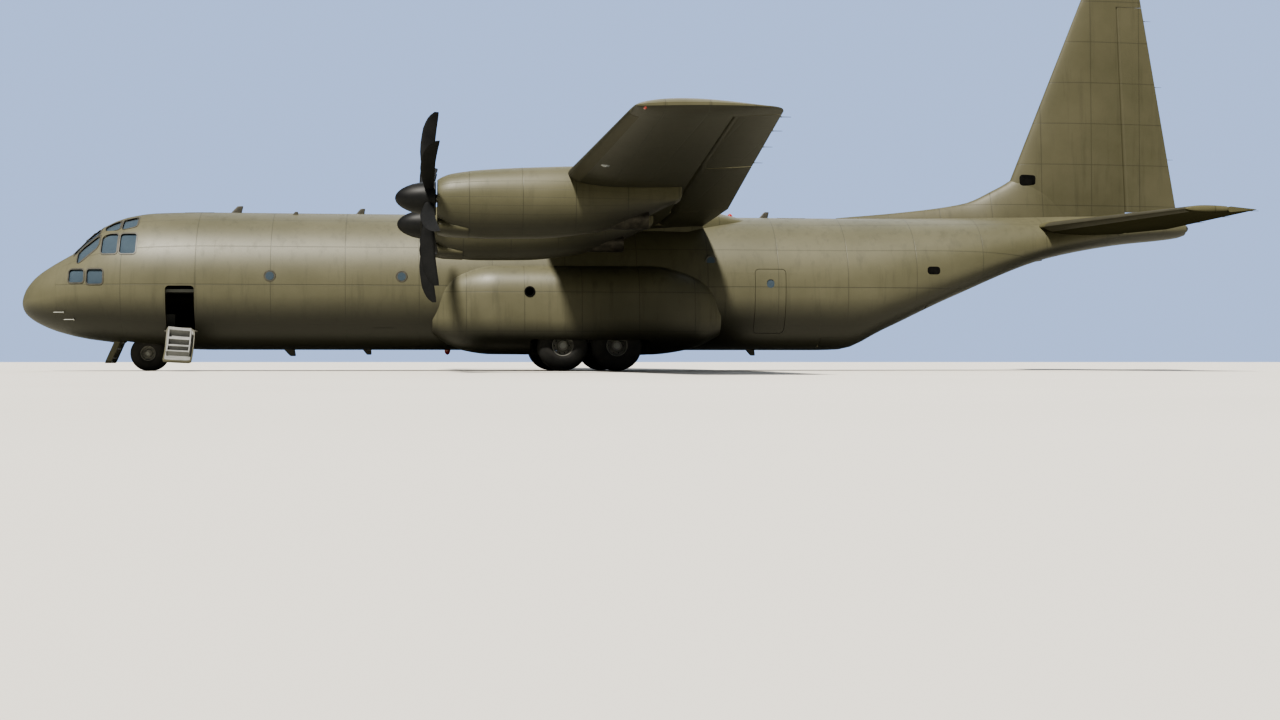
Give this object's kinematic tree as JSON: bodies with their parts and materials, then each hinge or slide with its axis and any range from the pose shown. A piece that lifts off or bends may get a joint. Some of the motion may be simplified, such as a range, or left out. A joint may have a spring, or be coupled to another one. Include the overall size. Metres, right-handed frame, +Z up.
{
  "type": "military transport aeroplane, half-scale model",
  "caption": "High-wing turboprop military transport on its landing gear, with a hollow hold, crew door let down, rear ramp and cargo door, turning propellers and moving control surfaces.",
  "frame": {"origin": "on the ground plane, under the middle of the aeroplane's overall length and span", "axes": "+X runs aft along the fuselage, from nose to tail; +Y points to the aeroplane's right wing tip; +Z points up"},
  "size_m": [17.18, 20.2, 5.905],
  "materials": {
    "airframe": "matte",
    "radome": "matte",
    "tyre": "matte",
    "blade": "satin",
    "gear": "satin",
    "engine": "satin",
    "glass": "gloss",
    "interior": "matte"
  },
  "bodies": {
    "airframe": {"radome": "radome", "fuselage_forward": "airframe", "cockpit_glass": "glass", "flight_deck": "interior", "fuselage_centre": "airframe", "paratroop_door_left": "airframe", "paratroop_door_right": "airframe", "cargo_floor": "interior", "fuselage_aft": "airframe", "wing_centre": "airframe", "wing_left": "airframe", "wing_right": "airframe", "flap_inner_left": "airframe", "flap_inner_right": "airframe", "flap_outer_left": "airframe", "flap_outer_right": "airframe", "nacelle_1": "airframe", "nacelle_2": "airframe", "nacelle_3": "airframe", "nacelle_4": "airframe", "engine_1": "engine", "engine_2": "engine", "engine_3": "engine", "engine_4": "engine", "fin": "airframe", "stabilizer": "airframe", "sponson_left": "airframe", "sponson_right": "airframe", "main_gear_left": "gear", "main_gear_right": "gear", "nose_gear_strut": "gear", "nose_gear_door": "airframe"},
    "propeller_1_body": {"propeller_1": "blade"},
    "propeller_2_body": {"propeller_2": "blade"},
    "propeller_3_body": {"propeller_3": "blade"},
    "propeller_4_body": {"propeller_4": "blade"},
    "main_wheel_left_front_body": {"main_tyre_left_front": "tyre", "main_wheel_left_front": "gear"},
    "main_wheel_left_rear_body": {"main_tyre_left_rear": "tyre", "main_wheel_left_rear": "gear"},
    "main_wheel_right_front_body": {"main_tyre_right_front": "tyre", "main_wheel_right_front": "gear"},
    "main_wheel_right_rear_body": {"main_tyre_right_rear": "tyre", "main_wheel_right_rear": "gear"},
    "nose_steering_body": {"nose_gear_fork": "gear"},
    "nose_wheels_body": {"nose_tyre_left": "tyre", "nose_tyre_right": "tyre", "nose_wheel_left": "gear", "nose_wheel_right": "gear"},
    "crew_door_body": {"crew_door": "airframe"},
    "cargo_ramp_body": {"cargo_ramp": "airframe"},
    "cargo_door_body": {"cargo_door": "airframe"},
    "aileron_left_body": {"aileron_left": "airframe"},
    "elevator_left_body": {"elevator_left": "airframe"},
    "aileron_right_body": {"aileron_right": "airframe"},
    "elevator_right_body": {"elevator_right": "airframe"},
    "rudder_body": {"rudder": "airframe"}
  },
  "joints": [
    {"name": "propeller_1_spin", "type": "hinge", "parent": "airframe", "child": "propeller_1_body", "pos_m": [-2.94, -5.1, 2.04], "axis": [1, 0, 0], "continuous": true},
    {"name": "propeller_2_spin", "type": "hinge", "parent": "airframe", "child": "propeller_2_body", "pos_m": [-2.94, -2.475, 1.93], "axis": [1, 0, 0], "continuous": true},
    {"name": "propeller_3_spin", "type": "hinge", "parent": "airframe", "child": "propeller_3_body", "pos_m": [-2.94, 2.475, 1.93], "axis": [1, 0, 0], "continuous": true},
    {"name": "propeller_4_spin", "type": "hinge", "parent": "airframe", "child": "propeller_4_body", "pos_m": [-2.94, 5.1, 2.04], "axis": [1, 0, 0], "continuous": true},
    {"name": "main_wheel_left_front_roll", "type": "hinge", "parent": "airframe", "child": "main_wheel_left_front_body", "pos_m": [-1.06, -1.1, 0.355], "axis": [0, 1, 0], "continuous": true},
    {"name": "main_wheel_left_rear_roll", "type": "hinge", "parent": "airframe", "child": "main_wheel_left_rear_body", "pos_m": [-0.3, -1.1, 0.355], "axis": [0, 1, 0], "continuous": true},
    {"name": "main_wheel_right_front_roll", "type": "hinge", "parent": "airframe", "child": "main_wheel_right_front_body", "pos_m": [-1.06, 1.1, 0.355], "axis": [0, 1, 0], "continuous": true},
    {"name": "main_wheel_right_rear_roll", "type": "hinge", "parent": "airframe", "child": "main_wheel_right_rear_body", "pos_m": [-0.3, 1.1, 0.355], "axis": [0, 1, 0], "continuous": true},
    {"name": "nose_steering", "type": "hinge", "parent": "airframe", "child": "nose_steering_body", "pos_m": [-6.84, 0, 0.2475], "axis": [0, 0, 1], "range_deg": [-60, 60]},
    {"name": "nose_wheels_roll", "type": "hinge", "parent": "nose_steering_body", "child": "nose_wheels_body", "pos_m": [-6.84, 0, 0.2475], "axis": [0, 1, 0], "continuous": true},
    {"name": "crew_door_hinge", "type": "hinge", "parent": "airframe", "child": "crew_door_body", "pos_m": [-6.305, -0.86, 0.55], "axis": [-1, 0, 0], "range_deg": [0, 115]},
    {"name": "cargo_ramp_hinge", "type": "hinge", "parent": "airframe", "child": "cargo_ramp_body", "pos_m": [2.715, 0, 0.3], "axis": [0, 1, 0], "range_deg": [0, 29.5]},
    {"name": "cargo_door_hinge", "type": "hinge", "parent": "airframe", "child": "cargo_door_body", "pos_m": [6.16, 0, 1.67], "axis": [0, 1, 0], "range_deg": [0, 28]},
    {"name": "aileron_left_hinge", "type": "hinge", "parent": "airframe", "child": "aileron_left_body", "pos_m": [0.01745, -8.125, 2.41819], "axis": [0.0607, 0.9975, -0.0355], "range_deg": [-25, 15]},
    {"name": "elevator_left_hinge", "type": "hinge", "parent": "airframe", "child": "elevator_left_body", "pos_m": [7.41, -2.25, 2.11], "axis": [0, 1, 0], "range_deg": [-40, 15]},
    {"name": "aileron_right_hinge", "type": "hinge", "parent": "airframe", "child": "aileron_right_body", "pos_m": [0.01745, 8.125, 2.41819], "axis": [-0.0607, 0.9975, 0.0355], "range_deg": [-25, 15]},
    {"name": "elevator_right_hinge", "type": "hinge", "parent": "airframe", "child": "elevator_right_body", "pos_m": [7.41, 2.25, 2.11], "axis": [0, 1, 0], "range_deg": [-40, 15]},
    {"name": "rudder_hinge", "type": "hinge", "parent": "airframe", "child": "rudder_body", "pos_m": [7.55285, 0, 3.95], "axis": [-0.0529, 0, 0.9986], "range_deg": [-35, 35]}
  ]
}
